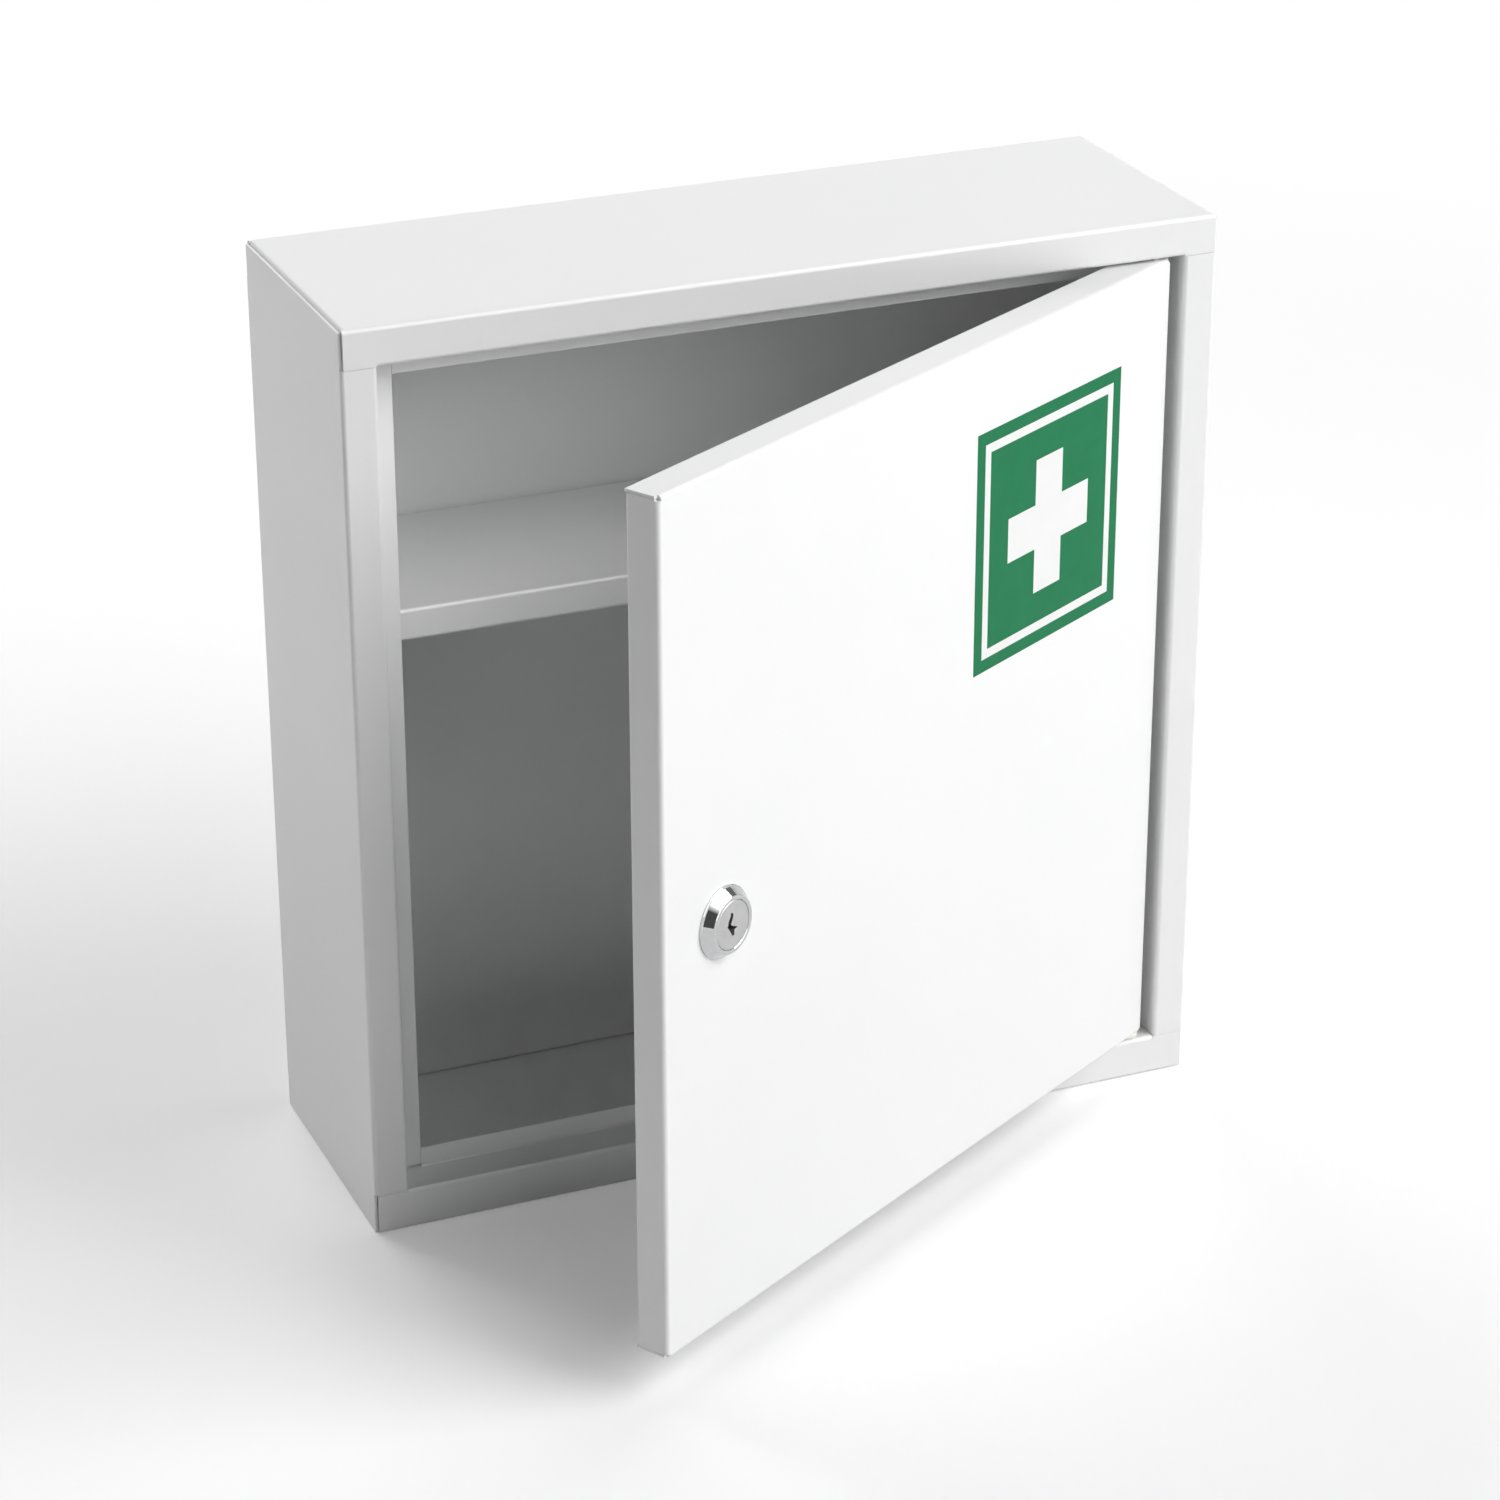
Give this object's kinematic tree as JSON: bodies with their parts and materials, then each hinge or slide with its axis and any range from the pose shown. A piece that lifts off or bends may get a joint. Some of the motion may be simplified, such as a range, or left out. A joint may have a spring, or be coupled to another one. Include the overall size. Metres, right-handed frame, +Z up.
{
  "type": "lockable medicine cabinet",
  "caption": "Small white sheet steel wall cabinet with a shelf and a hinged pan door that a cam lock fastens; shown with its door ajar.",
  "frame": {"origin": "middle of the underside of the cabinet, which stands or hangs level", "axes": "+Z up, +Y towards the wall, +X to the right as seen from the front"},
  "size_m": [0.305, 0.2342, 0.32],
  "materials": {
    "powder_coat": "white semi-gloss powder coat on sheet steel",
    "zinc": "bright zinc-plated steel",
    "chrome": "polished chrome plate on die-cast zinc",
    "satin_nickel": "satin nickel plate",
    "brass": "plain brass",
    "nylon": "natural nylon",
    "sign_film": "printed vinyl film, green and white"
  },
  "bodies": {
    "cabinet": {"top_panel": "powder_coat", "bottom_panel": "powder_coat", "left_side_panel": "powder_coat", "right_side_panel": "powder_coat", "back_panel": "powder_coat", "shelf": "powder_coat", "left_shelf_bracket": "powder_coat", "right_shelf_bracket": "powder_coat", "upper_hinge_pin": "zinc", "lower_hinge_pin": "zinc", "hinge_washer": "nylon"},
    "door": {"door_pan": "powder_coat", "upper_hinge_block": "powder_coat", "lower_hinge_block": "powder_coat", "lock_housing": "chrome", "lock_washer": "zinc", "lock_nut": "zinc"},
    "lock_rotor": {"lock_plug": "satin_nickel", "wafer_tumblers": "brass", "wafer_springs": "zinc", "stop_washer": "zinc", "lock_cam": "zinc", "cam_spring_washer": "zinc", "cam_screw": "zinc"}
  },
  "joints": [
    {"name": "door_hinge", "type": "hinge", "parent": "cabinet", "child": "door", "pos_m": [0.1315, -0.046, 0.16], "axis": [0, 0, 1], "range_deg": [-30, 90]},
    {"name": "lock_turn", "type": "hinge", "parent": "door", "child": "lock_rotor", "pos_m": [-0.0753, -0.17, 0.1585], "axis": [-0.5, 0.866, 0], "range_deg": [0, 90]}
  ]
}
